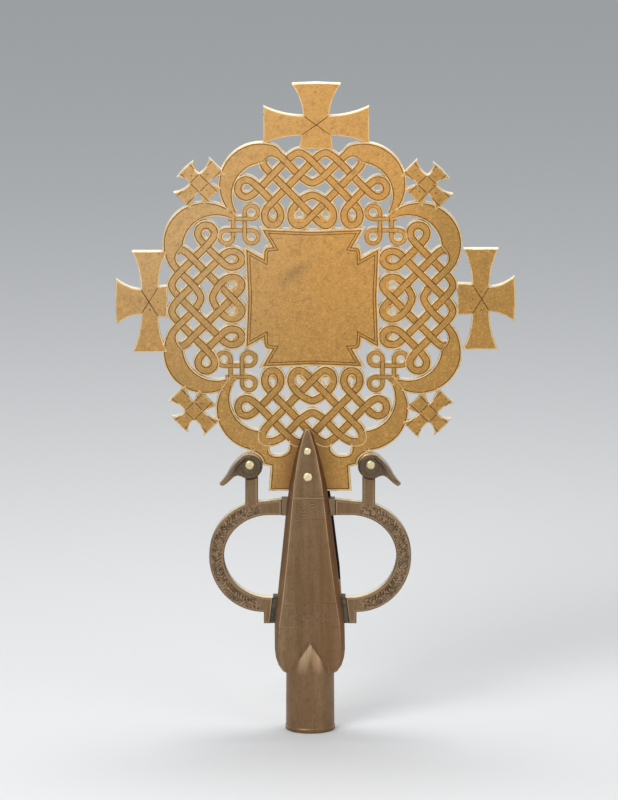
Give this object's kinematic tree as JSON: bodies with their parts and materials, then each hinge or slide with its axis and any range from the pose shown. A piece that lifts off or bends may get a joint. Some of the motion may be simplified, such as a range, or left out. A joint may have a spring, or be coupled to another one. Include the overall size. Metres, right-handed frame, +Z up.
{
  "type": "processional cross",
  "caption": "Pierced interlace brass processional cross, gripped by a forked bronze staff socket with a loop arm ending in a bird head on each side.",
  "frame": {"origin": "middle of the socket's bottom rim, on the axis of the staff bore", "axes": "+Z up along the staff bore, -Y out of the front face, +X to the viewer's right seen from the front"},
  "size_m": [0.2276, 0.0284, 0.3763],
  "materials": {
    "golden_brass": "worn satin, dark in the engraved lines",
    "brown_bronze": "worn satin with a brown patina",
    "pale_brass": "hammered, polished by wear",
    "grey_solder": "dull grey soft solder, stained green"
  },
  "bodies": {
    "root": {"cross_plate": "golden_brass", "socket": "brown_bronze", "left_loop_arm": "brown_bronze", "right_loop_arm": "brown_bronze", "left_bird_head": "brown_bronze", "right_bird_head": "brown_bronze", "lower_blade_rivet": "pale_brass", "upper_blade_rivet": "pale_brass", "left_eye_rivet": "pale_brass", "right_eye_rivet": "pale_brass", "left_upper_solder": "grey_solder", "right_upper_solder": "grey_solder", "left_lower_solder": "grey_solder", "right_lower_solder": "grey_solder"}
  },
  "joints": []
}
